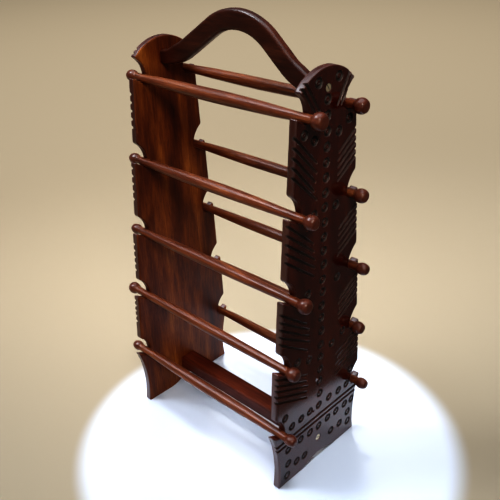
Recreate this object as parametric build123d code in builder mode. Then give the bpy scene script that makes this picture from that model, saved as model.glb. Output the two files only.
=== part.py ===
from build123d import *
import math
import os

os.makedirs("parts", exist_ok=True)

# Bangle stand in millimetres. X runs along the rods, Y from front to back, Z up,
# and the origin is on the floor under the middle of the stand.

# Side panels
panel_span = 210.0  # over the outer faces of the two panels
panel_thickness = 8.0
lowest_rod_height = 69.5  # axes of the lowest rods above the floor
fourth_row_rise = 72.5  # axes of the other rows above the row below
third_row_rise = 73.0
second_row_rise = 77.0
top_row_rise = 83.0
lowest_seat_reach = 57.5  # from the middle of the panel to the lowest rods
panel_taper = 0.098  # how much nearer the middle a rod lies per millimetre of height
lip_reach = 11.8  # the lip in front of a rod, measured outward from the rod axis
lip_rise = 2.0
shoulder_reach = 7.4  # the corner above a rod, measured outward from the rod axis
shoulder_rise = 20.6
head_rise = 15.5  # crown of the head above the top shoulders
toe_reach = 62.0
foot_hollow = 4.7  # bow of the foot's side between lip and toe
arch_reach = 28.0  # half width of the arch between the front and rear feet
arch_height = 6.5

# Rods
neck_diameter = 8.0
seat_clearance = 0.3
neck_overlap = 4.5  # how far the neck runs inside the panels
knob_gap = 5.0  # end play between a panel and a knob
knob_length = 11.4
knob_end_inset = 2.3  # from the widest part of a knob to the edge of its flat end
# Hand-turned sizes of each rod, top row first
front_barrel_diameters = (12.0, 11.2, 11.0, 10.4, 11.2)
rear_barrel_diameters = (11.2, 11.0, 11.0, 11.0, 11.0)
front_left_knob_diameters = (11.5, 11.2, 11.0, 12.8, 10.8)
front_right_knob_diameters = (15.4, 13.8, 14.2, 13.8, 11.6)
rear_knob_diameters = (14.0, 13.4, 12.0, 12.8, 11.6)
front_rod_shifts = (1.7, 2.6, 3.2, -3.0, 0.8)  # how far each rod has slid along X
rear_rod_shifts = (1.8, 1.3, 2.7, -3.2, 0.7)

# Handle and base rail
handle_thickness = 9.6
handle_band = 18.0
handle_edge_round = 3.0
handle_end_drop = 2.0  # middle of its ends below the top shoulders
handle_knee_inset = 21.0  # from a panel to the knee beside it
handle_straight_end = 3.0  # beside a panel, before the knee's curve starts
handle_peak_rise = 57.0  # where the straight flanks would meet, above the ends
handle_peak_shift = 10.5  # how far that point leans to the right
handle_crown_radius = 57.0
rail_depth = 20.0
rail_height = 15.0
rail_edge_round = 1.5
rail_axis_height = 27.0

# Countersunk screws
screw_head_diameter = 6.6
screw_head_rim = 0.4
screw_head_recess = 0.3
screw_shank_diameter = 3.6
screw_length = 32.0
screw_point_length = 5.0
screw_slot_width = 1.0
screw_slot_depth = 0.9
screw_slot_turn = 35.0  # degrees
screw_clearance = 0.1
pilot_extra_depth = 1.0

# Carving on the outer faces
gouge_radius = 1.35
cut_depth = 1.3  # at the panel's edge
cut_end_depth = 0.75  # at the inner end
cut_overrun = 4.0
chevron_count = 5
# Chevrons of each tier, top tier first: start below the rods above, pitch down the edge,
# drop along one cut, and distance of its inner end from the middle
front_chevrons = (
    (13.6, 8.2, 27.6, 13.0),
    (4.4, 8.4, 27.8, 13.7),
    (10.8, 7.6, 25.0, 19.0),
    (4.4, 6.6, 18.8, 20.0),
)
rear_chevrons = (
    (23.5, 6.45, 17.0, 16.6),
    (13.4, 6.9, 17.2, 21.6),
    (12.0, 6.25, 17.8, 26.3),
    (7.2, 6.6, 15.2, 26.9),
)
head_cuts = (((-6.0, 7.9), (-22.8, -18.6)), ((-2.2, 4.1), (-18.0, -19.6)))  # from a top shoulder
band_line_drops = (11.4, 17.5)  # two lines across the foot, below the lowest rods
band_line_fall = 1.2  # how much lower their front ends lie than their middles
band_line_depth = 1.1
rosette_diameter = 9.0
rosette_boss_diameter = 4.4
rosette_depth = 1.3
rosette_dot_diameter = 1.5
rosette_dot_depth = 0.8
column_rosettes = 23
column_top_drop = 11.0  # highest rosette below the top shoulders
column_bottom_rise = 0.8  # lowest rosette above the lowest rods
column_spread = 0.066  # how much its spacing tightens at the top and widens at the bottom
head_rosette = (13.0, 4.5)  # out from the middle, up from the top shoulders
# Rosettes beside the rods, top row first: out from the middle, up from the rod axis
rod_rosettes = (
    ((29.3, -13.2), (16.2, -21.0)),
    ((15.5, -4.8),),
    ((22.4, -4.0),),
    ((34.5, 1.0), (17.5, -5.5)),
    ((51.6, 16.6),),
)
upper_row = (-42.4, -27.5, -14.3, 16.0, 31.8, 45.4)  # rosettes above the lines, along Y
upper_row_rise = 0.8  # above the lowest rods
lower_row = (-47.2, -28.8, -14.1, 0.5, 15.2, 29.6, 44.2, 57.0)  # rosettes below the lines
lower_row_drop = 26.2
front_foot_rosettes = ((-47.3, 24.5), (-34.7, 18.7), (-22.0, 17.6), (-49.2, 10.3))  # along Y, up
rear_foot_rosettes = ((21.8, 22.1), (36.8, 21.0), (50.3, 29.0), (51.6, 15.3))

# Places that follow from the sizes above
outer_face = panel_span / 2
inner_face = outer_face - panel_thickness
seat_radius = neck_diameter / 2 + seat_clearance
lowest_rod = lowest_rod_height
fourth_row = lowest_rod + fourth_row_rise
third_row = fourth_row + third_row_rise
second_row = third_row + second_row_rise
rod_heights = (second_row + top_row_rise, second_row, third_row, fourth_row, lowest_rod)
head_corner_reach = lowest_seat_reach - panel_taper * (rod_heights[0] - lowest_rod) + shoulder_reach
head_corner_height = rod_heights[0] + shoulder_rise
handle_end_height = head_corner_height - handle_end_drop
screw_places = {"handle": handle_end_height, "base_rail": rail_axis_height}


def seat_at(height):
    return Vector(lowest_seat_reach - panel_taper * (height - lowest_rod), height)


def lip_at(height):
    return seat_at(height) + Vector(lip_reach, lip_rise)


def shoulder_at(height):
    return seat_at(height) + Vector(shoulder_reach, shoulder_rise)


def on_seat(centre, degrees):
    return centre + Vector(seat_radius, 0).rotate(Axis.Z, degrees)


def bearing(start, end):
    return math.degrees(math.atan2(end.Y - start.Y, end.X - start.X))


def tangent_swing(centre, point):
    return math.degrees(math.acos(seat_radius / (point - centre).length))


# Half outline of a panel, drawn upward from the arch to the crown of the head
def draw_half_outline():
    arch_top = Vector(0, arch_height)
    arch_end = Vector(arch_reach, 0)
    toe = Vector(toe_reach, 0)
    crown = Vector(0, head_corner_height + head_rise)
    Spline(arch_top, arch_end, tangents=((1, 0), (1, 0)))
    Line(arch_end, toe)
    SagittaArc(toe, lip_at(lowest_rod), foot_hollow)
    for upper, height in zip((None,) + rod_heights[:-1], rod_heights):
        seat, lip, shoulder = seat_at(height), lip_at(height), shoulder_at(height)
        low_angle = bearing(seat, lip) - tangent_swing(seat, lip)
        low, high = on_seat(seat, low_angle), on_seat(seat, -180)
        Line(lip, low)
        ThreePointArc(low, on_seat(seat, (low_angle - 180) / 2), high)
        TangentArc(high, shoulder, tangent=(0, 1))
        if upper is not None:
            Line(shoulder, lip_at(upper))
    TangentArc(crown, shoulder_at(rod_heights[0]), tangent=(1, 0))
    Line(crown, arch_top)


# Reach and height where the tier under a row of rods has its edge, at a given drop
def tier_edge(upper, lower, drop):
    top, bottom = lip_at(upper), shoulder_at(lower)
    share = (drop + lip_rise) / (top.Y - bottom.Y)
    return Vector(top.X + (bottom.X - top.X) * share, upper - drop)


# Start and end of every tapering cut on a panel, as place along Y and height
def tapering_cuts():
    cuts = []
    corner = Vector(head_corner_reach, head_corner_height)
    for side, chevrons in ((-1, front_chevrons), (1, rear_chevrons)):
        pairs = [(corner + Vector(*start), corner + Vector(*end)) for start, end in head_cuts]
        for upper, lower, tier in zip(rod_heights, rod_heights[1:], chevrons):
            first, pitch, drop, inner = tier
            starts = [tier_edge(upper, lower, first + index * pitch) for index in range(chevron_count)]
            pairs += [(start, Vector(inner, start.Y - drop)) for start in starts]
        for start, end in pairs:
            outside = start + (start - end).normalized() * cut_overrun
            cuts.append((Vector(side * outside.X, outside.Y), Vector(side * end.X, end.Y)))
    return cuts


# Reach along Y and height of every rosette on a panel
def rosette_places():
    top = head_corner_height - column_top_drop
    bottom = lowest_rod + column_bottom_rise
    shares = [index / (column_rosettes - 1) for index in range(column_rosettes)]
    places = [(0, top - (top - bottom) * share * (1 - column_spread * (1 - share))) for share in shares]
    for side in (-1, 1):
        places.append((side * head_rosette[0], head_corner_height + head_rosette[1]))
        for height, pairs in zip(rod_heights, rod_rosettes):
            places += [(side * reach, height + rise) for reach, rise in pairs]
    places += [(reach, lowest_rod + upper_row_rise) for reach in upper_row]
    places += [(reach, lowest_rod - lower_row_drop) for reach in lower_row]
    return places + list(front_foot_rosettes + rear_foot_rosettes)


# Ring and dot cutter for a rosette, standing on its own origin
with BuildPart() as rosette_ring:
    with BuildSketch(Plane.XZ):
        dot, boss, rim = rosette_dot_diameter / 2, rosette_boss_diameter / 2, rosette_diameter / 2
        with BuildLine():
            Polyline((0, 0), (dot, 0), (0, -rosette_dot_depth), close=True)
        make_face()
        with BuildLine():
            Polyline((boss, 0), ((boss + rim) / 2, -rosette_depth), (rim, 0), close=True)
        make_face()
    revolve(axis=Axis.Z)

# Round gouge laid along one cut, from the outer face's level at both ends
def gouge(start, start_depth, finish, finish_depth):
    low = Vector(outer_face + gouge_radius - start_depth, start.X, start.Y)
    high = Vector(outer_face + gouge_radius - finish_depth, finish.X, finish.Y)
    return Solid.make_cylinder(gouge_radius, (high - low).length, Plane(origin=low, z_dir=high - low))


# Right side panel, carved on its outer face
gouges = [gouge(start, cut_depth, finish, cut_end_depth) for start, finish in tapering_cuts()]
for drop in band_line_drops:
    front = Vector(-lip_at(lowest_rod).X, lowest_rod - drop - band_line_fall)
    rear = Vector(lip_at(lowest_rod).X, lowest_rod - drop + band_line_fall)
    gouges.append(gouge(front, band_line_depth, rear, band_line_depth))
face_plane = Plane.YZ.offset(outer_face)
with BuildPart() as right_side_panel:
    with BuildSketch(Plane.YZ.offset(inner_face)):
        with BuildLine():
            draw_half_outline()
        make_face()
        mirror(about=Plane.YZ)
    extrude(amount=panel_thickness)
    with Locations(*[face_plane * Location((0, height)) for height in screw_places.values()]):
        CounterSinkHole(
            screw_shank_diameter / 2 + screw_clearance,
            screw_head_diameter / 2 + screw_head_rim + screw_head_recess + screw_clearance,
            counter_sink_angle=90,
        )
    with Locations(*[face_plane * Location(place) for place in rosette_places()]):
        add(rosette_ring.part, mode=Mode.SUBTRACT)
    add(gouges, mode=Mode.SUBTRACT)
right_side_panel.part.label = "right_side_panel"
export_step(right_side_panel.part, "parts/right_side_panel.step")

# Left side panel, the right one's mirror image
with BuildPart() as left_side_panel:
    mirror(right_side_panel.part, about=Plane.YZ)
left_side_panel.part.label = "left_side_panel"
export_step(left_side_panel.part, "parts/left_side_panel.step")

# Radius of the knee whose curve runs from the straight end into a flank
def knee_radius(flank_run):
    slope = math.atan2(handle_peak_rise, flank_run)
    return (handle_knee_inset - handle_straight_end) / math.tan(slope / 2)


# Handle, an arched band between the heads of the panels
knee_reach = inner_face - handle_knee_inset
left_knee_radius = knee_radius(knee_reach + handle_peak_shift)
right_knee_radius = knee_radius(knee_reach - handle_peak_shift)
with BuildPart() as handle:
    with BuildLine(Plane.XZ) as handle_line:
        FilletPolyline(
            (-inner_face, handle_end_height),
            (-knee_reach, handle_end_height),
            (handle_peak_shift, handle_end_height + handle_peak_rise),
            (knee_reach, handle_end_height),
            (inner_face, handle_end_height),
            radius=(left_knee_radius, handle_crown_radius, right_knee_radius),
        )
    with BuildSketch(Plane(origin=handle_line.line @ 0, x_dir=(0, 1, 0), z_dir=(1, 0, 0))):
        RectangleRounded(handle_thickness, handle_band, handle_edge_round)
    sweep(path=handle_line.line)
    for side in (-1, 1):
        with Locations(Plane(origin=(side * inner_face, 0, handle_end_height), z_dir=(side, 0, 0))):
            Hole(
                screw_shank_diameter / 2 + screw_clearance,
                depth=screw_head_recess + screw_length + pilot_extra_depth - panel_thickness,
            )
handle.part.label = "handle"
export_step(handle.part, "parts/handle.step")

# Base rail, between the feet of the panels
with BuildPart() as base_rail:
    with BuildSketch(Plane.YZ):
        with Locations((0, rail_axis_height)):
            RectangleRounded(rail_depth, rail_height, rail_edge_round)
    extrude(amount=inner_face, both=True)
    for side in (-1, 1):
        with Locations(Plane(origin=(side * inner_face, 0, rail_axis_height), z_dir=(side, 0, 0))):
            Hole(
                screw_shank_diameter / 2 + screw_clearance,
                depth=screw_head_recess + screw_length + pilot_extra_depth - panel_thickness,
            )
base_rail.part.label = "base_rail"
export_step(base_rail.part, "parts/base_rail.step")

# Slotted screws, one through each panel into the handle and one into the rail
for fixed_piece, height in screw_places.items():
    with BuildPart() as screws:
        for side in (-1, 1):
            top = Vector(side * (outer_face - screw_head_recess), 0, height)
            head, shank = screw_head_diameter / 2, screw_shank_diameter / 2
            with BuildSketch(Plane(origin=top, x_dir=(0, 1, 0), z_dir=(0, 0, side))):
                with BuildLine():
                    Polyline(
                        (0, 0),
                        (head, 0),
                        (head, screw_head_rim),
                        (shank, screw_head_rim + head - shank),
                        (shank, screw_length - screw_point_length),
                        (0, screw_length),
                        close=True,
                    )
                make_face()
            revolve(axis=Axis(top, (1, 0, 0)))
            with Locations(Plane(origin=top, z_dir=(side, 0, 0))):
                Box(
                    screw_slot_width,
                    screw_head_diameter,
                    2 * screw_slot_depth,
                    rotation=(0, 0, screw_slot_turn),
                    mode=Mode.SUBTRACT,
                )
    screws.part.label = f"{fixed_piece}_screws"
    export_step(screws.part, f"parts/{fixed_piece}_screws.step")

# Rods, turned in one piece with a knob on each end, resting in their seats
front_knobs = list(zip(front_left_knob_diameters, front_right_knob_diameters))
rear_knobs = list(zip(rear_knob_diameters, rear_knob_diameters))
rod_rows = (
    ("front", -1, front_barrel_diameters, front_knobs, front_rod_shifts),
    ("rear", 1, rear_barrel_diameters, rear_knobs, rear_rod_shifts),
)
for row_name, end, barrels, knobs, shifts in rod_rows:
    for number, height in enumerate(rod_heights, start=1):
        axis_point = Vector(shifts[number - 1], end * seat_at(height).X, height)
        neck, barrel = neck_diameter / 2, barrels[number - 1] / 2
        barrel_end = inner_face - neck_overlap
        knob_start = outer_face + knob_gap
        knob_end = knob_start + knob_length
        with BuildPart() as rod:
            with BuildSketch(Plane(origin=axis_point, x_dir=(1, 0, 0), z_dir=(0, -1, 0))):
                with BuildLine():
                    Line((-knob_end, 0), (knob_end, 0))
                    for way, knob_diameter in zip((-1, 1), knobs[number - 1]):
                        knob = knob_diameter / 2
                        Line((way * knob_end, 0), (way * knob_end, knob - knob_end_inset))
                        ThreePointArc(
                            (way * knob_end, knob - knob_end_inset),
                            (way * (knob_start + knob_length / 2), knob),
                            (way * knob_start, neck),
                        )
                        Line((way * knob_start, neck), (way * barrel_end, neck))
                    ThreePointArc((-barrel_end, neck), (0, barrel), (barrel_end, neck))
                make_face()
            revolve(axis=Axis(axis_point, (1, 0, 0)))
        rod.part.label = f"{row_name}_rod_{number}"
        export_step(rod.part, f"parts/{row_name}_rod_{number}.step")
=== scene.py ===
import bpy
import math
import random
import numpy as np
from mathutils import Euler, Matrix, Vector, kdtree
from mathutils.geometry import delaunay_2d_cdt


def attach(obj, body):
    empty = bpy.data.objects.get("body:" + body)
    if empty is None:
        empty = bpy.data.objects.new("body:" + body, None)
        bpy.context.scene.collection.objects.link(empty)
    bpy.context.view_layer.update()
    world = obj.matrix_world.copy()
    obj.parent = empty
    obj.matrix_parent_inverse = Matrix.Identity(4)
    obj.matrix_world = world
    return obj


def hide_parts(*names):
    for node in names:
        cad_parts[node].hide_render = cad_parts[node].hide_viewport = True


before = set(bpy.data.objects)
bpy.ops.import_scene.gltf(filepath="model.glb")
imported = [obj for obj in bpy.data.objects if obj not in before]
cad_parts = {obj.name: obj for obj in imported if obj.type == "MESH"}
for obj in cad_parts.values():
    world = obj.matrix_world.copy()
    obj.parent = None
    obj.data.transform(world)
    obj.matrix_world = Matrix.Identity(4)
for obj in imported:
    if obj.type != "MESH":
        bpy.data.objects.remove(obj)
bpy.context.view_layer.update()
mm = 0.001  # drawings below are in millimetres, the scene is in metres
fullTurn = 2 * math.pi
phaseSpan = 6.283  # range of the random phases, in radians
waveSpan = 0.4, 1.0  # range of the random heights of waves
slack = 0.01  # lets a range reach its end


# camera, at the photograph's angle
shot = {
    "place": (0.43705, -0.43596, 0.53927),
    "turn": (61.9755, 1.2948, 43.5236),  # degrees
    "lens": 49.827, "sensor": 36.0, "clipStart": 0.01,
}
cameraData = bpy.data.cameras.new("photoCamera")
cameraData.lens = shot["lens"]
cameraData.sensor_width = shot["sensor"]
cameraData.clip_start = shot["clipStart"]
camera = bpy.data.objects.new("photoCamera", cameraData)
camera.location = shot["place"]
camera.rotation_euler = Euler([math.radians(a) for a in shot["turn"]], "XYZ")
bpy.context.scene.collection.objects.link(camera)
bpy.context.scene.camera = camera
bpy.context.scene.view_settings.view_transform = "Standard"
bpy.context.scene.view_settings.look = "High Contrast"
print("camera set")


# small tools for building nodes
def addNode(tree, kind, **settings):
    node = tree.nodes.new(kind)
    for key, value in settings.items():
        setattr(node, key, value)
    return node


def setInputs(node, **values):
    for key, value in values.items():
        node.inputs[key].default_value = value
    return node


def feed(tree, socket, value):  # with a link, a colour or a number
    if isinstance(value, bpy.types.NodeSocket):
        tree.links.new(value, socket)
    elif isinstance(value, tuple):
        socket.default_value = (*value, 1.0)
    else:
        socket.default_value = value


def rampNode(tree, source, stops):
    ramp = addNode(tree, "ShaderNodeValToRGB")
    while len(ramp.color_ramp.elements) < len(stops):
        ramp.color_ramp.elements.new(0.5)
    for element, (place, colour) in zip(ramp.color_ramp.elements, stops):
        element.position = place
        element.color = (*colour, 1.0)
    tree.links.new(source, ramp.inputs["Fac"])
    return ramp.outputs["Color"]


def mathNode(tree, operation, *values, clamp=False):
    node = addNode(tree, "ShaderNodeMath", operation=operation, use_clamp=clamp)
    for socket, value in zip(node.inputs, values):
        feed(tree, socket, value)
    return node.outputs["Value"]


def mixNode(tree, share, first, second):
    node = addNode(tree, "ShaderNodeMix", data_type="RGBA", clamp_factor=True)
    colours = [s for s in node.inputs if s.type == "RGBA"]
    for socket, value in zip((node.inputs[0], *colours), (share, first, second)):
        feed(tree, socket, value)
    return [s for s in node.outputs if s.type == "RGBA"][0]


def noiseNode(tree, coords, stretch, detail=4.0, rough=0.55, twist=0.0, shift=(0, 0, 0)):
    mapping = setInputs(addNode(tree, "ShaderNodeMapping"), Scale=stretch, Location=shift)
    tree.links.new(coords, mapping.inputs["Vector"])
    noise = addNode(tree, "ShaderNodeTexNoise")
    setInputs(noise, Scale=1.0, Detail=detail, Roughness=rough, Distortion=twist)
    tree.links.new(mapping.outputs["Vector"], noise.inputs["Vector"])
    return noise.outputs["Fac"]


def markNode(tree, label):
    return addNode(tree, "ShaderNodeAttribute", attribute_name=label).outputs["Fac"]


def bumpInto(tree, shader, height, strength, depth):
    bump = setInputs(addNode(tree, "ShaderNodeBump"), Strength=strength, Distance=depth)
    tree.links.new(height, bump.inputs["Height"])
    tree.links.new(bump.outputs["Normal"], shader.inputs["Normal"])


def newMaterial(name):
    material = bpy.data.materials.new(name)
    material.use_nodes = True
    tree = material.node_tree
    coords = addNode(tree, "ShaderNodeTexCoord").outputs["Object"]
    return material, tree, tree.nodes["Principled BSDF"], coords


# stained and lacquered wood, grain along one axis
wood = {
    "figure": (2.0, 0.5), "flame": (4.0, 0.8), "fibre": (3.0, 0.2), "pore": (1.0, 0.0),  # detail and twist
    "noiseRough": 0.58, "poreStops": ((0.30, (1, 1, 1)), (0.44, (0, 0, 0))),
    "fibreRelief": 0.6, "poreRelief": -0.4, "reliefDepth": 0.0004,
    "cutReach": 8.0,  # how fast the gloss goes at the brink of a cut
}


def woodFinish(name, look):
    material, tree, shader, coords = newMaterial(name)

    def times(first, second, clamp=False):
        return mathNode(tree, "MULTIPLY", first, second, clamp=clamp)

    def plus(first, second):
        return mathNode(tree, "ADD", first, second)

    def grain(kind):  # noise stretched along the grain
        across, lengthwise = look[kind]
        detail, twist = wood[kind]
        stretch = tuple(lengthwise if axis == look["grain"] else across for axis in "xyz")
        return noiseNode(tree, coords, stretch, detail, wood["noiseRough"], twist, look["shift"])

    figure, flame = grain("figure"), grain("flame")  # broad warm and dark patches, streaks inside them
    fibre, pores = grain("fibre"), grain("pore")  # short fine flecks, dark pores
    parts = [times(noise, share) for noise, share in zip((figure, flame, fibre), look["shares"])]
    colour = rampNode(tree, plus(plus(parts[0], parts[1]), parts[2]), look["tones"])
    poreMask = rampNode(tree, pores, wood["poreStops"])
    colour = mixNode(tree, times(poreMask, look["poreDark"]), colour, look["poreTone"])
    spread = look["roughSpread"]
    gloss = mathNode(tree, "MULTIPLY_ADD", flame, spread, look["rough"] - spread / 2)
    if "knobTone" in look:  # the knobs are darker than the rest of the rod, and a little glossier
        knob = markNode(tree, "knob")
        colour = mixNode(tree, times(knob, look["knobDark"]), colour, look["knobTone"])
        gloss = mathNode(tree, "SUBTRACT", gloss, times(knob, look["knobShine"]))
    if "cutShadeTone" in look:  # the cuts are coloured darker, partly staining and partly painted shade, and stay rough where no cloth reaches; the finish wears thin on the rims
        cut, rim = markNode(tree, "cut"), markNode(tree, "rim")
        # painted shade: the cut colour goes nearly black with the cut mark, for the shade in the recesses as
        # well as staining
        colour = mixNode(tree, times(cut, look["cutShadeDark"]), colour, look["cutShadeTone"])
        rubbed = times(times(rim, fibre), look["rubbed"], clamp=True)
        colour = mixNode(tree, rubbed, colour, look["rubTone"])
        unrubbed = times(cut, wood["cutReach"], clamp=True)
        gloss = plus(gloss, times(unrubbed, look["cutRough"]))
        gloss = plus(gloss, times(rim, look["rimRough"]))
    tree.links.new(colour, shader.inputs["Base Color"])
    tree.links.new(gloss, shader.inputs["Roughness"])
    height = plus(times(fibre, wood["fibreRelief"]), times(poreMask, wood["poreRelief"]))
    bumpInto(tree, shader, height, look["bump"], wood["reliefDepth"])
    setInputs(shader, **{"Specular IOR Level": look["specular"]})
    return material


panelGrain = {
    "grain": "z", "shift": (0.31, 0.11, 0.05), "shares": (0.53, 0.29, 0.18),  # of figure, flame and fibre
    # noise per metre, across and along the grain
    "figure": (27.0, 6.0), "flame": (110.0, 15.0), "fibre": (620.0, 48.0), "pore": (1900.0, 120.0),
    "poreDark": 0.5, "poreTone": (0.008, 0.0025, 0.0015), "bump": 0.05,
    # the next line colours the cuts nearly black: painted shade in the recesses, with staining
    "cutShadeDark": 0.93, "cutShadeTone": (0.003, 0.0012, 0.001), "cutRough": 0.6,
    "rubbed": 0.4, "rubTone": (0.07, 0.022, 0.013), "rimRough": 0.5,
}
carvedWood = woodFinish("carvedWood", {  # outer faces and edges are darker than the inner faces, and were rubbed to a gloss
    **panelGrain, "rough": 0.12, "roughSpread": 0.07, "specular": 1.0,
    "tones": (
        (0.34, (0.019, 0.0022, 0.0010)), (0.50, (0.044, 0.0054, 0.0018)), (0.68, (0.090, 0.0145, 0.0045)),
    ),
})
innerWood = woodFinish("innerWood", {
    **panelGrain, "rough": 0.49, "roughSpread": 0.12, "specular": 0.35,
    "tones": (
        (0.36, (0.031, 0.0056, 0.0012)), (0.47, (0.086, 0.0170, 0.0029)),
        (0.55, (0.165, 0.040, 0.0062)), (0.66, (0.36, 0.114, 0.019)),
    ),
})
handleWood = woodFinish("handleWood", {
    "grain": "x", "shift": (0.07, 0.41, 0.23), "shares": (0.42, 0.33, 0.25),
    "figure": (40.0, 9.0), "flame": (130.0, 15.0), "fibre": (640.0, 50.0), "pore": (1900.0, 120.0),
    "tones": (
        (0.36, (0.016, 0.0034, 0.0018)), (0.50, (0.040, 0.0088, 0.0042)), (0.64, (0.085, 0.0215, 0.0095)),
    ),
    "poreDark": 0.45, "poreTone": (0.006, 0.0025, 0.0018), "bump": 0.10,
    "rough": 0.34, "roughSpread": 0.14, "specular": 0.6,
})
railWood = woodFinish("railWood", {
    "grain": "x", "shift": (0.17, 0.05, 0.37), "shares": (0.40, 0.35, 0.25),
    "figure": (60.0, 8.0), "flame": (160.0, 13.0), "fibre": (640.0, 45.0), "pore": (1900.0, 110.0),
    "tones": (
        (0.34, (0.026, 0.0045, 0.002)), (0.50, (0.075, 0.0135, 0.0055)), (0.66, (0.15, 0.032, 0.012)),
    ),
    "poreDark": 0.5, "poreTone": (0.010, 0.003, 0.002), "bump": 0.12,
    "rough": 0.42, "roughSpread": 0.16, "specular": 0.22,
})
rodWood = woodFinish("rodWood", {
    "grain": "x", "shift": (0.53, 0.29, 0.71), "shares": (0.34, 0.36, 0.30),
    "figure": (90.0, 12.0), "flame": (240.0, 16.0), "fibre": (900.0, 50.0), "pore": (2200.0, 110.0),
    "tones": (
        (0.34, (0.046, 0.0106, 0.0044)), (0.50, (0.124, 0.0315, 0.0114)), (0.66, (0.268, 0.087, 0.030)),
    ),
    "poreDark": 0.5, "poreTone": (0.018, 0.005, 0.003), "bump": 0.12,
    "knobDark": 0.7, "knobTone": (0.075, 0.022, 0.015), "knobShine": 0.06,
    "rough": 0.36, "roughSpread": 0.16, "specular": 0.5,
})


def brassFinish(name, look):
    material, tree, shader, coords = newMaterial(name)
    stains = noiseNode(tree, coords, look["stains"])
    scratches = noiseNode(tree, coords, look["scratches"], look["scratchDetail"])
    colour = rampNode(tree, stains, look["tones"])
    # painted shade: the slot, and the shank that sits in the wood, take a nearly black colour
    colour = mixNode(tree, markNode(tree, "cut"), colour, look["slotShadeTone"])
    tree.links.new(colour, shader.inputs["Base Color"])
    spread = look["roughSpread"]
    gloss = mathNode(tree, "MULTIPLY_ADD", stains, spread, look["rough"] - spread / 2)
    tree.links.new(gloss, shader.inputs["Roughness"])
    bumpInto(tree, shader, scratches, look["bump"], look["bumpDepth"])
    setInputs(shader, Metallic=look["metallic"])
    return material


screwBrass = brassFinish("screwBrass", {
    "stains": (900.0, 900.0, 900.0), "scratches": (2500.0, 700.0, 6000.0), "scratchDetail": 3.0,
    # the last tone is painted shade for the slot
    "tones": ((0.35, (0.74, 0.62, 0.38)), (0.65, (0.95, 0.88, 0.68))), "slotShadeTone": (0.05, 0.035, 0.02),
    "rough": 0.38, "roughSpread": 0.25, "metallic": 0.8, "bump": 0.15, "bumpDepth": 0.0001,
})
print("finishes mixed")


# one mesh piece on its body, standing for its solid
def makePiece(name, points, faces, finishes, body, node, crease, marks=None, worn=None):
    mesh = bpy.data.meshes.new(name)
    mesh.from_pydata((np.asarray(points) * mm).tolist(), [], faces)
    mesh.polygons.foreach_set("use_smooth", [True] * len(mesh.polygons))
    mesh.set_sharp_from_angle(angle=math.radians(crease))
    for label, values in (marks or {}).items():
        layer = mesh.attributes.new(label, "FLOAT", "POINT")
        layer.data.foreach_set("value", np.asarray(values, np.float32))
    for finish in finishes:
        mesh.materials.append(finish)
    if worn is not None:  # which finish each face wears
        mesh.polygons.foreach_set("material_index", worn)
    mesh.update()
    piece = bpy.data.objects.new(name, mesh)
    bpy.context.scene.collection.objects.link(piece)
    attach(piece, body)
    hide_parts(node)
    return piece


# slow hand-made wander, about one unit high
def wander(values, seed, lengths=(90.0, 41.0, 17.0)):
    rng = random.Random(seed)
    values = np.asarray(values, float)
    total = np.zeros_like(values)
    for length in lengths:
        total += np.sin(values * (fullTurn / length) + rng.uniform(0, phaseSpan)) * rng.uniform(*waveSpan)
    return total / len(lengths)


def neighbours(count):  # index pairs round a closed ring
    return [(k, (k + 1) % count) for k in range(count)]


def circleOf(centre, radius, count, shift=0.0):
    angles = (np.arange(count) + shift) * (fullTurn / count)
    return [centre + radius * np.array((math.cos(a), math.sin(a))) for a in angles]


# side panels: outline with notches, head and arched foot
panel = {
    "outer": 105.0, "thickness": 8.0,
    "rodHeights": (375.0, 292.0, 215.0, 142.0, 69.5),  # top row first
    "lowSeat": 57.5, "taper": 0.098, "seatRadius": 4.3,
    "lip": (11.8, 2.0), "shoulder": (7.4, 20.6),  # out and up from a rod axis
    "headRise": 15.5, "toe": 62.0, "footHollow": 4.7,
    "archReach": 28.0, "archHeight": 6.5, "archSteps": 70,
    "edgeRound": 1.1, "cornerPasses": 6,
    "wobble": 0.22, "stillFoot": (3.0, 12.0),  # flat up to this height, then over this rise to full wobble
    "unevenness": 0.12, "swellUp": (160.0, 75.0), "swellAcross": (110.0, 60.0), "swellShift": 40.0,
    "runStep": 0.4, "outlineStep": 0.8, "edgeStep": 0.2, "insets": (0.3, 0.7, 1.2, 2.4),
    "gridAcross": (-80.0, 80.1), "gridUp": (0.5, 415.0),
    "outerGrid": (4.0, 0.18), "innerGrid": (5.0, 0.4),  # step, and distance kept from the edge
    "edgeRows": (0.25, 0.5, 0.75),  # shares of the board's thickness
    "rimReach": 1.8, "rimOnEdge": 0.45, "crease": 50, "seeds": (11, 23),
    "screws": (393.6, 27.0), "sinkRadius": 4.1, "sinkDepth": 1.6,
}
lowestRod = panel["rodHeights"][-1]


def seatAt(height):
    return np.array((panel["lowSeat"] - panel["taper"] * (height - lowestRod), height))


def straightRun(start, end, step=panel["runStep"]):
    count = max(2, int(np.hypot(*(end - start)) / step))
    return [start + (end - start) * k / count for k in range(count)]


def arcRun(centre, radius, first, last, step=panel["runStep"]):
    count = max(2, int(abs(last - first) * radius / step))
    angles = [first + (last - first) * k / count for k in range(count)]
    return [centre + radius * np.array((math.cos(a), math.sin(a))) for a in angles]


def bowedRun(start, end, bow):  # arc bowed to the left of its direction
    chord = end - start
    length = np.hypot(*chord)
    along = chord / length
    left = np.array((-along[1], along[0]))
    radius = (length ** 2 / 4 + bow ** 2) / (2 * bow)
    centre = (start + end) / 2 - left * (radius - bow)
    half = math.asin(length / 2 / radius)
    middle = math.atan2(left[1], left[0])
    return arcRun(centre, radius, middle + half, middle - half)


def archRun():  # from the middle of the arch down to the foot
    shares = [k / panel["archSteps"] for k in range(panel["archSteps"])]
    heights = [panel["archHeight"] * (1 - 3 * t * t + 2 * t ** 3) for t in shares]
    return [np.array((panel["archReach"] * t, height)) for t, height in zip(shares, heights)]


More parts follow.
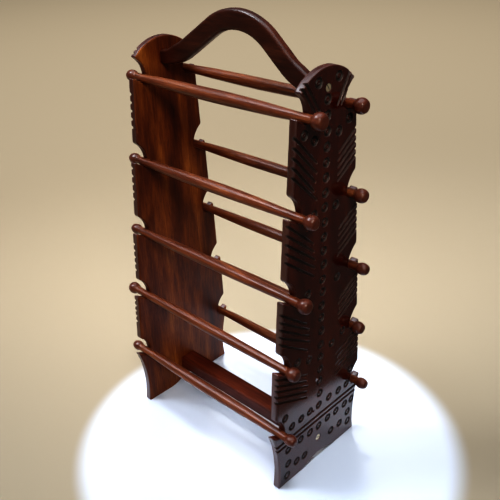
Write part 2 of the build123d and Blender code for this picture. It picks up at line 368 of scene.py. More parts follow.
def notchRun(height):  # lip, round seat and hollow wall up to the shoulder
    radius = panel["seatRadius"]
    seat = seatAt(height)
    lip, shoulder = seat + panel["lip"], seat + panel["shoulder"]
    reach = lip - seat
    low = math.atan2(reach[1], reach[0]) - math.acos(radius / np.hypot(*reach))
    run = straightRun(lip, seat + radius * np.array((math.cos(low), math.sin(low))))
    run += arcRun(seat, radius, low, -math.pi)
    wall = shoulder - (seat - (radius, 0))
    wallRadius = (wall @ wall) / (2 * wall[0])
    bend = math.asin(wall[1] / wallRadius)
    run += arcRun(seat + (wallRadius - radius, 0), wallRadius, math.pi, math.pi - bend)
    return run + [shoulder]


def halfOutline():
    toe = np.array((panel["toe"], 0.0))
    run = archRun()
    run += straightRun(np.array((panel["archReach"], 0.0)), toe)
    run += bowedRun(toe, seatAt(lowestRod) + panel["lip"], panel["footHollow"])
    for height in reversed(panel["rodHeights"]):
        if height != lowestRod:
            run += straightRun(run[-1], seatAt(height) + panel["lip"])
        run += notchRun(height)
    shoulder = run[-1]
    crown = np.array((0.0, shoulder[1] + panel["headRise"]))
    headRadius = (shoulder[0] ** 2 + panel["headRise"] ** 2) / (2 * panel["headRise"])
    centre = crown - (0, headRadius)
    run += arcRun(centre, headRadius, math.atan2(shoulder[1] - centre[1], shoulder[0]), math.pi / 2)
    return np.array(run + [crown])


def evenlySpaced(loop, step):
    closed = np.vstack([loop, loop[:1]])
    lengths = np.r_[0, np.cumsum(np.hypot(*np.diff(closed, axis=0).T))]
    count = int(lengths[-1] / step)
    at = np.linspace(0, lengths[-1], count, endpoint=False)
    return np.c_[np.interp(at, lengths, closed[:, 0]), np.interp(at, lengths, closed[:, 1])]


def loopNormals(loop):  # pointing out of the wood
    ahead = np.roll(loop, -1, axis=0) - np.roll(loop, 1, axis=0)
    ahead /= np.hypot(*ahead.T)[:, None]
    return np.c_[ahead[:, 1], -ahead[:, 0]]


def panelOutline(seed):
    right = halfOutline()
    left = right[1:-1][::-1] * (-1, 1)
    loop = evenlySpaced(np.vstack([right, left]), panel["outlineStep"])
    for _ in range(panel["cornerPasses"]):  # rubs the corners round
        loop = 0.5 * loop + 0.25 * (np.roll(loop, 1, axis=0) + np.roll(loop, -1, axis=0))
    travel = np.arange(len(loop)) * panel["outlineStep"]
    still, rise = panel["stillFoot"]
    calm = np.clip((loop[:, 1] - still) / rise, 0, 1)
    loop = loop + loopNormals(loop) * (wander(travel, seed) * panel["wobble"] * calm)[:, None]
    loop[:, 1] = np.maximum(loop[:, 1], 0.0)
    return loop


def insideLoop(points, loop):
    x, y = points[:, 0], points[:, 1]
    inside = np.zeros(len(points), bool)
    for (x0, y0), (x1, y1) in zip(loop, np.roll(loop, -1, axis=0)):
        if y0 == y1:
            continue
        inside ^= ((y0 > y) != (y1 > y)) & (x < (x1 - x0) * (y - y0) / (y1 - y0) + x0)
    return inside


# carving: chevron cuts, double line across the foot, rosettes
carving = {
    "gougeRadius": 1.35, "edgeDepth": 2.6, "endDepth": 1.1, "depthSpread": (0.9, 1.1),
    "overrun": 4.0, "endSlip": 1.0, "handError": 0.35, "cutsPerTier": 5,
    # tiers from the top: first cut below the rod axis, pitch, fall of a cut, inner end from the middle
    "frontTiers": (
        (13.6, 8.2, 27.6, 13.0), (4.4, 8.4, 27.8, 13.7), (10.8, 7.6, 25.0, 19.0), (4.4, 6.6, 18.8, 20.0),
    ),
    "rearTiers": (
        (23.5, 6.45, 17.0, 16.6), (13.4, 6.9, 17.2, 21.6), (12.0, 6.25, 17.8, 26.3), (7.2, 6.6, 15.2, 26.9),
    ),
    "headCuts": (((-6.0, 7.9), (-22.8, -18.6)), ((-2.2, 4.1), (-18.0, -19.6))),  # from the head's corner
    "lineDrops": (11.4, 17.5), "lineFall": 1.2, "lineDepth": 1.2, "lineReach": 73.0,
    "ringOut": 4.6, "ringIn": 2.1, "ringDepth": 1.5, "dotRadius": 0.8, "dotDepth": 0.8,
    "boss": (0.12, 0.22),  # depth of its top, and fall to its edge
    "cutSection": 0.8, "ringSection": 0.7,  # powers, lower is squarer
    "cutShadeDepth": 1.5, "ringShadeDepth": 0.5,  # depths that are coloured darkest, staining and painted shade
    "column": (384.6, 70.3, 23), "columnSpread": 0.066,  # top, bottom and count
    "headRosette": (13.0, 400.1),
    "rodRosettes": (  # out from the middle and up from the rod axis, top row first
        ((29.3, -13.2), (16.2, -21.0)), ((15.5, -4.8),), ((22.4, -4.0),),
        ((34.5, 1.0), (17.5, -5.5)), ((51.6, 16.6),),
    ),
    "upperRow": (70.3, (-42.4, -27.5, -14.3, 16.0, 31.8, 45.4)),
    "lowerRow": (43.3, (-47.2, -28.8, -14.1, 0.5, 15.2, 29.6, 44.2, 57.0)),
    "footRosettes": (
        (-47.3, 24.5), (-34.7, 18.7), (-22.0, 17.6), (-49.2, 10.3),
        (21.8, 22.1), (36.8, 21.0), (50.3, 29.0), (51.6, 15.3),
    ),
}
carvedMesh = {  # where the carved face has its vertices
    "acrossCut": (0.32, 0.62, 0.9, 1.12, 1.4), "alongCut": 1.1, "scoop": (-75, -45, -15, 15, 45, 75),
    "bossRadii": (0.4, 0.8, 1.4), "ringSteps": 9, "ringSpan": (-0.15, 0.1), "ringSkirt": (0.5, -0.1),
    "aroundRing": 26, "sinkRadii": (1.0, 2.0, 2.6, 3.2, 3.8, 4.1, 4.3), "aroundSink": 32,
}


def tierEdge(upper, lower, drop):
    top = seatAt(upper) + panel["lip"]
    bottom = seatAt(lower) + panel["shoulder"]
    share = (drop + panel["lip"][1]) / (top[1] - bottom[1])
    return np.array((top[0] + (bottom[0] - top[0]) * share, upper - drop))


def carvedCuts(rng):
    cuts = []
    heights = panel["rodHeights"]
    corner = seatAt(heights[0]) + panel["shoulder"]
    for side, tiers in ((-1, carving["frontTiers"]), (1, carving["rearTiers"])):
        pairs = [(corner + a, corner + b) for a, b in carving["headCuts"]]
        for upper, lower, (first, pitch, drop, inner) in zip(heights, heights[1:], tiers):
            for k in range(carving["cutsPerTier"]):
                start = tierEdge(upper, lower, first + k * pitch)
                pairs.append((start, np.array((inner, start[1] - drop))))
        for start, end in pairs:
            end = end + (rng.gauss(0, carving["endSlip"]), rng.gauss(0, carving["handError"]))
            start = start + (start - end) / np.hypot(*(start - end)) * carving["overrun"]
            deep = rng.uniform(*carving["depthSpread"])
            depths = carving["edgeDepth"] * deep, carving["endDepth"] * deep
            cuts.append((start * (side, 1), end * (side, 1), *depths))
    for drop in carving["lineDrops"]:
        level, fall, reach = lowestRod - drop, carving["lineFall"], carving["lineReach"]
        ends = np.array((-reach, level - fall)), np.array((reach, level + fall))
        cuts.append((*ends, carving["lineDepth"], carving["lineDepth"]))
    return cuts


def rosettePlaces(rng):
    top, bottom, count = carving["column"]
    shares = [k / (count - 1) for k in range(count)]
    drops = [(top - bottom) * share * (1 - carving["columnSpread"] * (1 - share)) for share in shares]
    places = [(0.0, top - drop) for drop in drops]
    for side in (-1, 1):
        places.append((side * carving["headRosette"][0], carving["headRosette"][1]))
        for height, spots in zip(panel["rodHeights"], carving["rodRosettes"]):
            places += [(side * out, height + up) for out, up in spots]
    for height, spots in (carving["upperRow"], carving["lowerRow"]):
        places += [(out, height) for out in spots]
    places += carving["footRosettes"]
    slip = carving["handError"]
    return np.array([(y + rng.gauss(0, slip), z + rng.gauss(0, slip)) for y, z in places])


def carvedPoints(cuts, rosettes):
    points = []
    sides = [carving["gougeRadius"] * k for k in carvedMesh["acrossCut"]]
    offsets = [-o for o in reversed(sides)] + [0] + sides
    for start, end, _, _ in cuts:
        length = np.hypot(*(end - start))
        along = (end - start) / length
        left = np.array((-along[1], along[0]))
        for s in np.arange(0, length + slack, carvedMesh["alongCut"]):
            points += [start + along * s + left * o for o in offsets]
        for o in sides:  # scooped inner end
            for a in np.radians(carvedMesh["scoop"]):
                points.append(end + (along * math.cos(a) + left * math.sin(a)) * o)
    under, over = carvedMesh["ringSpan"]
    ringRadii = np.linspace(carving["ringIn"] + under, carving["ringOut"] + over, carvedMesh["ringSteps"])
    radii = [*carvedMesh["bossRadii"], *ringRadii]
    radii += [carving["ringOut"] + out for out in carvedMesh["ringSkirt"]]
    for place in rosettes:
        for number, radius in enumerate(radii):
            points += circleOf(place, radius, carvedMesh["aroundRing"], 0.5 * (number % 2))
        points.append(place)
    for height in panel["screws"]:
        for radius in carvedMesh["sinkRadii"]:
            points += circleOf(np.array((0.0, height)), radius, carvedMesh["aroundSink"])
    return np.array(points)


# depth of the carving below the flat face, and how dark the cuts are coloured, partly staining and partly
# painted shade
def carvedDepth(points, cuts, rosettes):
    depth, stainAndShade = np.zeros(len(points)), np.zeros(len(points))
    radius = carving["gougeRadius"]
    for start, end, edgeDepth, endDepth in cuts:
        run = end - start
        t = np.clip(((points - start) @ run) / (run @ run), 0, 1)
        away = np.hypot(*(points - start - t[:, None] * run).T)
        deep = edgeDepth + (endDepth - edgeDepth) * t
        hollow = np.clip(1 - (away / radius) ** 2, 0, 1) ** carving["cutSection"] * deep
        depth = np.maximum(depth, hollow)
        stainAndShade = np.maximum(stainAndShade, hollow / carving["cutShadeDepth"])
    ringIn, ringOut = carving["ringIn"], carving["ringOut"]
    middle, half = (ringIn + ringOut) / 2, (ringOut - ringIn) / 2
    top, fall = carving["boss"]
    for place in rosettes:
        away = np.hypot(*(points - place).T)
        near = away < ringOut
        ring = np.clip(1 - ((away - middle) / half) ** 2, 0, 1) ** carving["ringSection"]
        ring = ring * carving["ringDepth"]
        boss = np.where(away < ringIn, top + fall * (away / ringIn) ** 2, 0)
        dot = np.clip(1 - (away / carving["dotRadius"]) ** 2, 0, 1) * carving["dotDepth"]
        depth = np.where(near, np.maximum(depth, np.maximum(ring, boss + dot)), depth)
        stainAndShade = np.where(near, np.maximum(stainAndShade, np.maximum(ring, dot) / carving["ringShadeDepth"]), stainAndShade)
    for height in panel["screws"]:
        away = np.hypot(points[:, 0], points[:, 1] - height)
        sink = np.clip(panel["sinkRadius"] - away, 0, panel["sinkDepth"])
        depth = np.maximum(depth, sink)
        stainAndShade = np.maximum(stainAndShade, sink / carving["cutShadeDepth"])
    return depth, np.clip(stainAndShade, 0, 1)


def triangulated(loop, extras):
    points = np.vstack([loop, extras])
    count = len(loop)
    insideOnly, tolerance = 1, 1e-4
    made = delaunay_2d_cdt([Vector(p) for p in points], neighbours(count), [], insideOnly, tolerance)
    spots = np.array([(v[0], v[1]) for v in made[0]])
    ring = [0] * count
    for index, origins in enumerate(made[3]):
        for origin in origins:
            if origin < count:
                ring[origin] = index
    return spots, [tuple(f) for f in made[2]], ring


def edgeTree(loop):
    dense = evenlySpaced(loop, panel["edgeStep"])
    tree = kdtree.KDTree(len(dense))
    for index, (y, z) in enumerate(dense):
        tree.insert((y, z, 0), index)
    tree.balance()
    return tree


def panelSheet(loop, tree, extras, clearance):
    normals = loopNormals(loop)
    insets = [loop - normals * d for d in panel["insets"]]
    extras = np.vstack(insets + [extras])
    extras = extras[insideLoop(extras, loop)]
    gaps = np.array([tree.find((y, z, 0))[2] for y, z in extras])
    spots, faces, ring = triangulated(loop, extras[gaps > clearance])
    gaps = np.array([tree.find((y, z, 0))[2] for y, z in spots])
    gaps[ring] = 0.0
    r = panel["edgeRound"]
    inward = np.clip(r - gaps, 0, r)
    rounded = r - np.sqrt(np.maximum(r * r - inward ** 2, 0))
    return spots, faces, ring, gaps, rounded


def plainGrid(step):
    ys, zs = np.arange(*panel["gridAcross"], step), np.arange(*panel["gridUp"], step)
    return np.array([(y + (step / 2 if k % 2 else 0), z) for k, z in enumerate(zs) for y in ys])


def makePanel(name, node, side, seed):
    rng = random.Random(seed)
    loop = panelOutline(seed)
    tree = edgeTree(loop)
    cuts, rosettes = carvedCuts(rng), rosettePlaces(rng)
    outer, inner = panel["outer"], panel["outer"] - panel["thickness"]
    step, clearance = panel["outerGrid"]
    extras = np.vstack([carvedPoints(cuts, rosettes), plainGrid(step)])
    spots, faces, ring, gaps, rounded = panelSheet(loop, tree, extras, clearance)
    depth, stainAndShade = carvedDepth(spots, cuts, rosettes)
    swell = wander(spots[:, 1], seed + 1, panel["swellUp"])
    swell = swell * wander(spots[:, 0] + panel["swellShift"], seed + 2, panel["swellAcross"])
    level = np.full(len(spots), outer) - depth - rounded - panel["unevenness"] * (1 + swell)
    front = np.c_[level, spots]
    step, clearance = panel["innerGrid"]
    backSpots, backFaces, backRing, backGaps, backRound = panelSheet(loop, tree, plainGrid(step), clearance)
    back = np.c_[inner + backRound, backSpots]
    points = [front, back]
    cut = [stainAndShade, np.zeros(len(back))]
    rim = [np.clip(1 - gap / panel["rimReach"], 0, 1) for gap in (gaps, backGaps)]
    count, offset = len(ring), len(front) + len(back)
    rings = [np.array(ring)]
    high, low = front[ring], back[backRing]
    for share in panel["edgeRows"]:
        points.append(high + (low - high) * share)
        cut.append(np.zeros(count))
        rim.append(np.full(count, panel["rimOnEdge"]))
        rings.append(np.arange(offset, offset + count))
        offset += count
    rings.append(np.array(backRing) + len(front))
    edgeFaces = [
        (int(upper[k]), int(lower[k]), int(lower[n]), int(upper[n]))
        for upper, lower in zip(rings, rings[1:]) for k, n in neighbours(count)
    ]
    allFaces = faces + [tuple(len(front) + v for v in reversed(f)) for f in backFaces] + edgeFaces
    worn = [0] * len(faces) + [1] * len(backFaces) + [0] * len(edgeFaces)
    points = np.vstack(points)
    if side < 0:
        points[:, 0] *= -1
        allFaces = [tuple(reversed(f)) for f in allFaces]
    marks = {"cut": np.concatenate(cut), "rim": np.concatenate(rim)}
    finishes, crease = (carvedWood, innerWood), panel["crease"]
    return makePiece(name, points, allFaces, finishes, "stand_frame", node, crease, marks, worn)


makePanel("rightPanelCarved", "right_side_panel", 1, panel["seeds"][0])
makePanel("leftPanelCarved", "left_side_panel", -1, panel["seeds"][1])
print("side panels carved")


# rods: hand-planed barrels with a knob on each end, sizes from the top row down
rods = {
    "neck": 4.0, "barrelEnd": 92.5, "knobStart": 110.0, "knobEnd": 121.4, "endInset": 2.3,
    "frontBarrels": (6.0, 5.6, 5.5, 5.2, 5.6), "rearBarrels": (5.6, 5.5, 5.5, 5.5, 5.5),
    "frontLeftKnobs": (5.75, 5.6, 5.5, 6.4, 5.4), "frontRightKnobs": (7.7, 6.9, 7.1, 6.9, 5.8),
    "rearKnobs": (7.0, 6.7, 6.0, 6.4, 5.8),
    "frontShifts": (1.7, 2.6, 3.2, -3.0, 0.8), "rearShifts": (1.8, 1.3, 2.7, -3.2, 0.7),
    "around": 60, "barrelSteps": 46, "neckSteps": 9, "neckSpan": (1.5, -0.5),
    "knobSteps": 22, "knobSpan": (0.02, 0.94),
    "rubbedEnd": ((0.42, 0.02), (0.2, 0.2), (0.08, 0.5), (0.02, 0.95)),  # back from the end, in from its rim
    "endShares": (0.62, 0.35, 0.15), "endSwell": 0.12, "endLevel": 0.7, "tip": 0.02,
    "facets": 9, "facetSlip": 0.3, "twistLength": 700.0, "facetReach": 0.5,
    "planed": (0.012, 0.04), "strokes": (0.65, 0.35), "strokeLength": 23.0,
    "wavy": 0.09, "bend": 0.25, "easeIn": 14.0,
    "sagWaves": (260.0, 150.0), "swayWaves": (230.0, 120.0), "swellWaves": (62.0, 33.0, 19.0),
    "knobMarkStart": 1.0, "knobMarkFade": 4.0, "crease": 60, "frontSeed": 100, "rearSeed": 200,
}


def circleThrough(a, b, c):
    (ax, ay), (bx, by), (cx, cy) = a, b, c
    aa, bb, cc = ax * ax + ay * ay, bx * bx + by * by, cx * cx + cy * cy
    d = 2 * (ax * (by - cy) + bx * (cy - ay) + cx * (ay - by))
    ux = (aa * (by - cy) + bb * (cy - ay) + cc * (ay - by)) / d
    uy = (aa * (cx - bx) + bb * (ax - cx) + cc * (bx - ax)) / d
    return np.array((ux, uy)), math.hypot(ax - ux, ay - uy)


def rodProfile(barrel, knob):  # half of it, from the middle out, as place along the rod and radius
    end, neck, flat = rods["barrelEnd"], rods["neck"], knob - rods["endInset"]
    knobStart, knobEnd = rods["knobStart"], rods["knobEnd"]
    centre, radius = circleThrough((-end, neck), (0, barrel), (end, neck))
    along = np.linspace(0, end, rods["barrelSteps"])
    line = [(x, centre[1] + math.sqrt(radius ** 2 - x ** 2)) for x in along]
    after, before = rods["neckSpan"]
    line += [(x, neck) for x in np.linspace(end + after, knobStart + before, rods["neckSteps"])]
    centre, radius = circleThrough((knobStart, neck), ((knobStart + knobEnd) / 2, knob), (knobEnd, flat))
    first = math.atan2(neck - centre[1], knobStart - centre[0])
    last = math.atan2(flat - centre[1], knobEnd - centre[0])
    for t in np.linspace(*rods["knobSpan"], rods["knobSteps"]):
        a = first + (last - first) * t
        line.append((centre[0] + radius * math.cos(a), centre[1] + radius * math.sin(a)))
    line += [(knobEnd - back, flat - inset) for back, inset in rods["rubbedEnd"]]
    for share in rods["endShares"]:  # the end itself, slightly domed
        line.append((knobEnd + rods["endSwell"] * (rods["endLevel"] - share), flat * share))
    return line


def planedRadius(turn, x, r, flats):  # long flats left by the plane
    radius = np.full(len(turn), r)
    mean, swing = rods["strokes"]
    reach = rods["facetReach"]
    for angle, twist, deep, phase in flats:
        facing = np.cos(turn - angle - twist * x)
        level = r * (1 - deep * (mean + swing * math.sin(x / rods["strokeLength"] + phase)))
        radius = np.where(facing > reach, np.minimum(radius, level / np.maximum(facing, reach)), radius)
    return radius


def planedFlats(rng):
    step, slip = fullTurn / rods["facets"], rods["facetSlip"]
    return [
        (step * (k + rng.uniform(-slip, slip)), rng.uniform(-1, 1) / rods["twistLength"],
         rng.uniform(*rods["planed"]), rng.uniform(0, phaseSpan))
        for k in range(rods["facets"])
    ]


def makeRod(row, number, side, barrel, knobs, shift, seed):
    height = panel["rodHeights"][number - 1]
    reach = seatAt(height)[0] * side
    left, right = (rodProfile(barrel, knob) for knob in knobs)
    line = np.array([(-x, r) for x, r in left[:0:-1]] + right)
    count = rods["around"]
    turn = np.arange(count) * (fullTurn / count)
    flats = planedFlats(random.Random(seed))
    loose = np.clip((rods["barrelEnd"] - np.abs(line[:, 0])) / rods["easeIn"], 0, 1)  # necks stay true
    sag = wander(line[:, 0], seed + 5, rods["sagWaves"]) * rods["bend"] * loose
    sway = wander(line[:, 0], seed + 6, rods["swayWaves"]) * rods["bend"] * loose
    swell = wander(line[:, 0], seed + 7, rods["swellWaves"]) * rods["wavy"] * loose
    points, faces = [], []
    for k, (x, r) in enumerate(line):
        y, z = reach + sway[k], height + sag[k]
        radius = planedRadius(turn, x, r + swell[k], flats)
        points += [(x + shift, y + q * math.cos(a), z + q * math.sin(a)) for q, a in zip(radius, turn)]
    for near in range(0, (len(line) - 1) * count, count):
        far = near + count
        faces += [(near + j, near + n, far + n, far + j) for j, n in neighbours(count)]
    for base, way in ((0, -1), ((len(line) - 1) * count, 1)):
        tip = np.mean(points[base:base + count], axis=0) + (rods["tip"] * way, 0, 0)
        points.append(tuple(tip))
        last = len(points) - 1
        for j, n in neighbours(count):
            faces.append((base + j, base + n, last) if way > 0 else (base + n, base + j, last))
    node = f"{row}_rod_{number}"
    intoKnob = np.abs(line[:, 0]) - rods["knobStart"] + rods["knobMarkStart"]
    knobMark = np.clip(intoKnob / rods["knobMarkFade"], 0, 1)
    marks = {"knob": np.r_[np.repeat(knobMark, count), 1, 1]}
    name, crease = f"{row}RodTurned{number}", rods["crease"]
    return makePiece(name, points, faces, [rodWood], node, node, crease, marks)


for k in range(len(panel["rodHeights"])):
    number = k + 1
    knobs = rods["frontLeftKnobs"][k], rods["frontRightKnobs"][k]
    seed = rods["frontSeed"] + number
    makeRod("front", number, -1, rods["frontBarrels"][k], knobs, rods["frontShifts"][k], seed)
    knobs = rods["rearKnobs"][k], rods["rearKnobs"][k]
    seed = rods["rearSeed"] + number
    makeRod("rear", number, 1, rods["rearBarrels"][k], knobs, rods["rearShifts"][k], seed)
print("ten rods turned")


# handle and base rail: bands with rubbed edges, swept along a line in the XZ plane
bands = {
    "cornerSteps": 6, "edgeSteps": 6, "crease": 60,
    "wideWaves": (120.0, 55.0, 24.0), "thickWaves": (140.0, 60.0),
}


def roundedSection(halfDepth, halfHeight, radius):
    corners, section = [], []
    for cx, cy, first in ((1, 1, 0), (-1, 1, 90), (-1, -1, 180), (1, -1, 270)):
        middle = np.array((cx * (halfDepth - radius), cy * (halfHeight - radius)))
        for k in range(bands["cornerSteps"] + 1):
            a = math.radians(first + 90 * k / bands["cornerSteps"])
            corners.append(middle + radius * np.array((math.cos(a), math.sin(a))))
    for p, q in zip(corners, corners[1:] + corners[:1]):
        section.append(p)
        if math.dist(p, q) > radius:
            section += [p + (q - p) * k / bands["edgeSteps"] for k in range(1, bands["edgeSteps"])]
    return np.array(section)


def sweptBand(line, section, roughness, seed, endDrop=0.0, endRun=1.0):
    line = np.asarray(line)
    ahead = np.gradient(line, axis=0)
    ahead /= np.hypot(*ahead.T)[:, None]
    up = np.c_[-ahead[:, 1], ahead[:, 0]]
    travel = np.r_[0, np.cumsum(np.hypot(*np.diff(line, axis=0).T))]
    wide = 1 + wander(travel, seed, bands["wideWaves"]) * roughness
    thick = 1 + wander(travel, seed + 1, bands["thickWaves"]) * roughness
    nearEnd = np.clip(1 - np.minimum(travel, travel[-1] - travel) / endRun, 0, 1)
    drop = endDrop * nearEnd ** 2 * (3 - 2 * nearEnd)  # the top edge falls away towards the ends
    points, faces = [], []
    count = len(section)
    half = section[:, 1].max()
    for (x, z), (ux, uz), w, t, d in zip(line, up, wide, thick, drop):
        for across, high in section:
            rise = high * w - d * (high + half) / (2 * half)
            points.append((x + ux * rise, across * t, z + uz * rise))
    for near in range(0, (len(line) - 1) * count, count):
        far = near + count
        faces += [(near + j, far + j, far + n, near + n) for j, n in neighbours(count)]
    faces.append(tuple(range(count)))
    faces.append(tuple(range((len(line) - 1) * count, len(line) * count))[::-1])
    return points, faces


handle = {
    "end": 97.2, "endHeight": 393.6, "kneeInset": 21.0, "straightEnd": 3.0, "lineStep": 1.5, "seed": 31,
    "peakRise": 57.0, "peakShift": 10.5, "crownRadius": 57.0,
    "halfThickness": 4.8, "halfBand": 9.0, "edge": 3.0, "unevenness": 0.018, "endDrop": 4.5, "endRun": 26.0,
}


def filletedLine(corners, radii, step):
    line = []
    corners = [np.array(c, float) for c in corners]
    previous = corners[0]
    for before, at, after, radius in zip(corners, corners[1:], corners[2:], radii):
        u = (before - at) / np.hypot(*(before - at))
        v = (after - at) / np.hypot(*(after - at))
        angle = math.acos(np.clip(u @ v, -1, 1))
        reach = radius / math.tan(angle / 2)
        centre = at + (u + v) / np.hypot(*(u + v)) * radius / math.sin(angle / 2)
        start, end = at + u * reach, at + v * reach
        line += straightRun(previous, start, step)
        first = math.atan2(start[1] - centre[1], start[0] - centre[0])
        last = math.atan2(end[1] - centre[1], end[0] - centre[0])
        last = first + (last - first + math.pi) % fullTurn - math.pi
        line += arcRun(centre, radius, first, last, step)
        previous = end
    return np.array(line + straightRun(previous, corners[-1], step) + [corners[-1]])


def kneeRadius(flankRun):
    slope = math.atan2(handle["peakRise"], flankRun)
    return (handle["kneeInset"] - handle["straightEnd"]) / math.tan(slope / 2)


def makeHandle():
    knee = panel["outer"] - panel["thickness"] - handle["kneeInset"]
    end, level, shift = handle["end"], handle["endHeight"], handle["peakShift"]
    peak = shift, level + handle["peakRise"]
    corners = (-end, level), (-knee, level), peak, (knee, level), (end, level)
    radii = kneeRadius(knee + shift), handle["crownRadius"], kneeRadius(knee - shift)
    line = filletedLine(corners, radii, handle["lineStep"])
    section = roundedSection(handle["halfThickness"], handle["halfBand"], handle["edge"])
    fall = handle["endDrop"], handle["endRun"]
    points, faces = sweptBand(line, section, handle["unevenness"], handle["seed"], *fall)
    finishes, crease = [handleWood], bands["crease"]
    return makePiece("handleShaped", points, faces, finishes, "stand_frame", "handle", crease)


rail = {
    "end": 97.2, "height": 27.0, "steps": 120, "seed": 57,
    "halfDepth": 10.0, "halfHeight": 7.5, "edge": 1.7, "unevenness": 0.012,
}


def makeRail():
    line = [(x, rail["height"]) for x in np.linspace(-rail["end"], rail["end"], rail["steps"])]
    section = roundedSection(rail["halfDepth"], rail["halfHeight"], rail["edge"])
    points, faces = sweptBand(line, section, rail["unevenness"], rail["seed"])
    finishes, crease = [railWood], bands["crease"]
    return makePiece("baseRailPlaned", points, faces, finishes, "stand_frame", "base_rail", crease)


makeHandle()
makeRail()
print("handle and rail shaped")


# slotted countersunk screws
screw = {
    "headRadius": 3.3, "rim": 0.4, "recess": 0.3, "shank": 1.8, "length": 32.0, "point": 5.0, "tip": 0.3,
    "dome": 0.18, "rimDrop": 0.12, "rimStart": 0.9, "rimWidth": 0.1,
    "slotDepth": 0.9, "slotFloor": 0.46, "slotAcross": (0.25, 0.45, 0.5, 0.62),  # out from its middle
    # how strongly the slot and the shank take the painted slot shade
    "slotReach": 3.2, "slotStep": 0.4, "slotMark": 1.0, "shankMark": 0.6, "crease": 35,
    "headShares": (0.97, 0.9, 0.75, 0.55, 0.3), "meshReach": 0.985, "around": 48,
    "handleTurns": (20.0, 35.0), "railTurns": (-15.0, 62.0),  # of the slots, left and right, in degrees
}


def screwHead():  # seen from outside: spots, faces, rim and heights
    radius, reach = screw["headRadius"], screw["slotReach"]
    angles = np.arange(screw["around"]) * (fullTurn / screw["around"])
    rim = np.array([(radius * math.cos(a), radius * math.sin(a)) for a in angles])
    extras = []
    for share in screw["headShares"]:
        extras += [(radius * share * math.cos(a), radius * share * math.sin(a)) for a in angles[::2]]
    across = [-u for u in reversed(screw["slotAcross"])] + [0, *screw["slotAcross"]]
    for v in np.arange(-reach, reach + slack, screw["slotStep"]):
        extras += [(u, v) for u in across]
    extras = np.array([p for p in extras if math.hypot(*p) < radius * screw["meshReach"]])
    spots, faces, ring = triangulated(rim, extras)
    away = np.hypot(*spots.T) / radius
    inSlot = np.abs(spots[:, 0]) <= screw["slotFloor"]
    rimFall = screw["rimDrop"] * np.clip((away - screw["rimStart"]) / screw["rimWidth"], 0, 1) ** 2
    lift = -screw["dome"] * away ** 2 - rimFall - inSlot * screw["slotDepth"]
    return angles, spots, faces, ring, lift, inSlot


def screwMesh(side, height, turn):
    angles, spots, faces, ring, lift, inSlot = screwHead()
    radius, shank, length = screw["headRadius"], screw["shank"], screw["length"]
    points = [(u, v, w) for (u, v), w in zip(spots, lift)]
    marks = list(inSlot * screw["slotMark"])
    profile = (
        (radius, screw["rim"]), (shank, screw["rim"] + radius - shank),
        (shank, length - screw["point"]), (screw["tip"], length),
    )
    rings = [ring]
    for r, deep in profile:
        rings.append(list(range(len(points), len(points) + len(angles))))
        points += [(r * math.cos(a), r * math.sin(a), -deep) for a in angles]
        marks += [screw["shankMark"]] * len(angles)
    for upper, lower in zip(rings, rings[1:]):
        faces += [(upper[k], lower[k], lower[n], upper[n]) for k, n in neighbours(len(angles))]
    faces.append(tuple(reversed(rings[-1])))
    c, s = math.cos(math.radians(turn)), math.sin(math.radians(turn))
    face = panel["outer"] - screw["recess"]
    placed = [(side * (face + w), side * (u * c - v * s), height + u * s + v * c) for u, v, w in points]
    return placed, faces, marks


def makeScrews(name, node, height, turns):
    points, faces, marks = [], [], []
    for side, turn in zip((-1, 1), turns):
        more, moreFaces, moreMarks = screwMesh(side, height, turn)
        faces += [tuple(v + len(points) for v in f) for f in moreFaces]
        points += more
        marks += moreMarks
    finishes, crease = [screwBrass], screw["crease"]
    return makePiece(name, points, faces, finishes, "stand_frame", node, crease, {"cut": marks})


makeScrews("handleScrewsSlotted", "handle_screws", panel["screws"][0], screw["handleTurns"])
makeScrews("railScrewsSlotted", "base_rail_screws", panel["screws"][1], screw["railTurns"])
print("screws driven")


# plain pale floor, lighter round the stand, in metres
floorLook = {
    "near": (0.61, 0.67, 0.79), "far": (0.29, 0.245, 0.178), "rough": 0.6, "specular": 0.2,
    "middle": (0.05, -0.015, 0.0), "edge": (0.185, 0.215),  # of the lighter part
    "mirrored": (-0.824, -0.033, 0.0), "mirroredRadius": 1.0,  # the part that shows in the gloss
    "radius": 6.0, "around": 96,
}


def mixFloor():
    material, tree, shader, coords = newMaterial("paleFloor")
    length = addNode(tree, "ShaderNodeVectorMath", operation="DISTANCE")
    tree.links.new(coords, length.inputs[0])
    length.inputs[1].default_value = floorLook["middle"]
    span = addNode(tree, "ShaderNodeMapRange", interpolation_type="SMOOTHSTEP")
    setInputs(span, **{"From Min": floorLook["edge"][0], "From Max": floorLook["edge"][1]})
    tree.links.new(length.outputs["Value"], span.inputs["Value"])
    colour = mixNode(tree, span.outputs["Result"], floorLook["near"], floorLook["far"])
    tree.links.new(colour, shader.inputs["Base Color"])
    setInputs(shader, Roughness=floorLook["rough"], **{"Specular IOR Level": floorLook["specular"]})
    return material


def layFloor(name, points, faces, finish, mirrored):
    mesh = bpy.data.meshes.new(name)
    mesh.from_pydata(points, [], faces)
    mesh.materials.append(finish)
    floor = bpy.data.objects.new(name, mesh)
    floor.visible_glossy = mirrored
    bpy.context.scene.collection.objects.link(floor)


def makeFloor():
    finish = mixFloor()
    count = floorLook["around"]
    x, y, z = floorLook["mirrored"]
    radii = floorLook["mirroredRadius"], floorLook["radius"]
    inner, outer = ([(*spot, z) for spot in circleOf(np.array((x, y)), radius, count)] for radius in radii)
    ringFaces = [(k, count + k, count + n, n) for k, n in neighbours(count)]
    layFloor("floorNear", inner, [tuple(range(count))], finish, True)
    layFloor("floorFar", inner + outer, ringFaces, finish, False)


makeFloor()


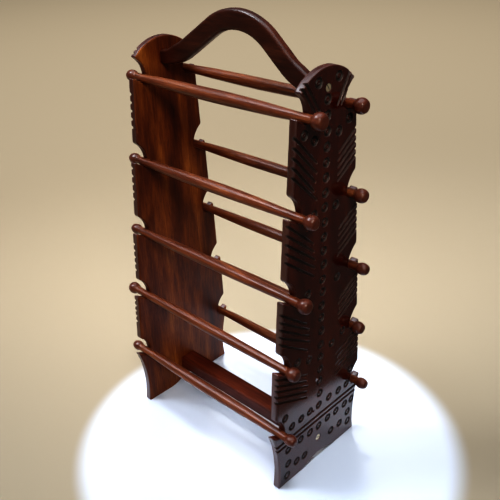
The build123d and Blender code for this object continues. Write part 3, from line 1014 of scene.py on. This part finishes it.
# soft studio light
lights = {
    "ceiling": {
        "kind": "AREA", "place": (-0.35, 0.05, 2.4), "aim": (-0.35, 0.05, 0.0), "size": 2.4, "beam": 180,
        "power": 26.0, "colour": (0.86, 0.92, 1.0), "glints": True,
    },
    "windowLeft": {
        "kind": "AREA", "place": (-0.70, -0.55, 1.45), "aim": (-0.05, 0.0, 0.28), "size": 1.2, "beam": 26,
        "power": 1.9, "colour": (0.87, 0.92, 1.0), "glints": True,
    },
    "fillRight": {
        "kind": "AREA", "place": (0.95, -0.75, 1.25), "aim": (-0.1, 0.0, 0.26), "size": 0.5, "beam": 28,
        "power": 0.44, "colour": (1.0, 0.88, 0.74), "glints": True,
    },
    "overhead": {
        "kind": "SPOT", "place": (0.36, -0.16, 2.2), "aim": (0.06, 0.0, 0.0), "size": 0.25, "beam": 16,
        "edge": 0.3, "power": 92.0, "colour": (0.90, 0.95, 1.0), "glints": False,
    },
    "fillBack": {
        "kind": "AREA", "place": (-1.0, 1.05, 1.3), "aim": (0.0, 0.0, 0.24), "size": 0.9, "beam": 28,
        "power": 0.5, "colour": (1.0, 0.95, 0.88), "glints": False,
    },
    "foreground": {
        "kind": "SPOT", "place": (0.1, -2.4, 4.0), "aim": (0.1, -2.4, 0.0), "size": 0.2, "beam": 58,
        "edge": 0.3, "power": 400.0, "colour": (1.0, 0.97, 0.92), "glints": False,
    },
    "backdrop": {
        "kind": "SPOT", "place": (-1.5, 1.6, 4.0), "aim": (-1.5, 1.6, 0.0), "size": 0.2, "beam": 60,
        "edge": 0.2, "power": 790.0, "colour": (1.0, 0.97, 0.92), "glints": False,
    },
}
ambient = {"colour": (0.95, 0.88, 0.80, 1.0), "strength": 0.08}


def hangLight(name, light):
    data = bpy.data.lights.new(name, light["kind"])
    if light["kind"] == "AREA":
        data.shape = "DISK"
        data.size = light["size"]
        data.spread = math.radians(light["beam"])
    else:
        data.shadow_soft_size = light["size"]
        data.spot_size = math.radians(light["beam"])
        data.spot_blend = light["edge"]
    data.energy = light["power"]
    data.color = light["colour"]
    lamp = bpy.data.objects.new(name, data)
    lamp.location = light["place"]
    aim = Vector(light["aim"]) - Vector(light["place"])
    lamp.rotation_euler = aim.to_track_quat("-Z", "Y").to_euler()
    lamp.visible_glossy = light["glints"]
    bpy.context.scene.collection.objects.link(lamp)


for name, light in lights.items():
    hangLight(name, light)
world = bpy.data.worlds.new("studio")
world.use_nodes = True
setInputs(world.node_tree.nodes["Background"], Color=ambient["colour"], Strength=ambient["strength"])
bpy.context.scene.world = world
print("floor and lights placed")
